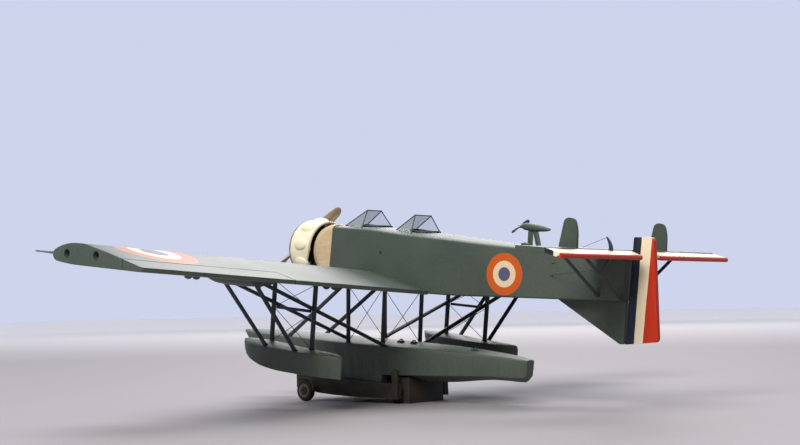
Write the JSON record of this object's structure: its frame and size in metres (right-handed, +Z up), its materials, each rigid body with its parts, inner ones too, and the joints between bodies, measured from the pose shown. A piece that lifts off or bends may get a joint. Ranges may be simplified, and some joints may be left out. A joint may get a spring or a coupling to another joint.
{
  "type": "scale model of a two-seat floatplane on its beaching dolly",
  "caption": "Small display model of a strut-braced low-wing floatplane with one main float and two outer floats, standing nose up on a wheeled beaching dolly.",
  "frame": {"origin": "centre of the overall box on the floor under the dolly", "axes": "+X to the nose, +Y to port, +Z up; the aeroplane is pitched 6 degrees nose up on its dolly"},
  "size_m": [0.1149, 0.1666, 0.0456],
  "materials": {
    "airframe_paint": "matt grey-green paint",
    "strut_paint": "matt dark slate paint",
    "cowl_paint": "satin ivory paint",
    "fairing_paint": "matt tan paint",
    "engine_metal": "dark metallic paint",
    "propeller_wood": "brown wood-like paint",
    "stripe_paint": "striped paint",
    "clear_pane": "clear sheet in a dark frame",
    "dolly_paint": "matt brown-grey paint",
    "tyre": "black tyre"
  },
  "bodies": {
    "model": {"aileron_port": "airframe_paint", "aileron_starboard": "airframe_paint", "auxiliary_fin_port": "airframe_paint", "auxiliary_fin_starboard": "airframe_paint", "dolly_chock_port": "dolly_paint", "dolly_chock_starboard": "dolly_paint", "dolly_frame": "dolly_paint", "dolly_rear_block": "dolly_paint", "elevator_port": "stripe_paint", "elevator_starboard": "stripe_paint", "engine": "engine_metal", "float_brace_front_port": "strut_paint", "float_brace_front_starboard": "strut_paint", "float_brace_rear_port": "strut_paint", "float_brace_rear_starboard": "strut_paint", "float_spreader_port": "strut_paint", "float_spreader_starboard": "strut_paint", "float_strut_front_port": "strut_paint", "float_strut_front_starboard": "strut_paint", "float_strut_rear_port": "strut_paint", "float_strut_rear_starboard": "strut_paint", "fuselage": "airframe_paint", "fuselage_strut_front_port": "strut_paint", "fuselage_strut_front_starboard": "strut_paint", "fuselage_strut_rear_port": "strut_paint", "fuselage_strut_rear_starboard": "strut_paint", "generator": "strut_paint", "main_float": "airframe_paint", "nose_fairing": "fairing_paint", "nose_strut_port": "strut_paint", "nose_strut_starboard": "strut_paint", "outer_float_port": "airframe_paint", "outer_float_starboard": "airframe_paint", "pitot_tube": "strut_paint", "ring_cowl": "cowl_paint", "rudder": "stripe_paint", "strut_fairing_port": "airframe_paint", "strut_fairing_starboard": "airframe_paint", "tail_brace_front_port": "strut_paint", "tail_brace_front_starboard": "strut_paint", "tail_brace_rear_port": "strut_paint", "tail_brace_rear_starboard": "strut_paint", "tailplane": "airframe_paint", "ventral_fin": "airframe_paint", "windscreen_front": "clear_pane", "windscreen_rear": "clear_pane", "wing_port": "airframe_paint", "wing_starboard": "airframe_paint", "wing_strut_front_port": "strut_paint", "wing_strut_front_starboard": "strut_paint", "wing_strut_rear_port": "strut_paint", "wing_strut_rear_starboard": "strut_paint"},
    "propeller": {"propeller": "propeller_wood"},
    "generator_propeller": {"generator_propeller": "propeller_wood"},
    "wheel_port": {"dolly_wheel_port": "tyre"},
    "wheel_starboard": {"dolly_wheel_starboard": "tyre"}
  },
  "joints": [
    {"name": "propeller_spin", "type": "hinge", "parent": "model", "child": "propeller", "pos_m": [0.0388, 0, 0.03544], "axis": [0.9945, 0, 0.1045], "continuous": true},
    {"name": "generator_spin", "type": "hinge", "parent": "model", "child": "generator_propeller", "pos_m": [-0.02491, 0, 0.03704], "axis": [0.9945, 0, 0.1045], "continuous": true},
    {"name": "wheel_port_spin", "type": "hinge", "parent": "model", "child": "wheel_port", "pos_m": [0.0284, 0.0093, 0.0024], "axis": [0, 1, 0], "continuous": true},
    {"name": "wheel_starboard_spin", "type": "hinge", "parent": "model", "child": "wheel_starboard", "pos_m": [0.0284, -0.0093, 0.0024], "axis": [0, 1, 0], "continuous": true}
  ]
}
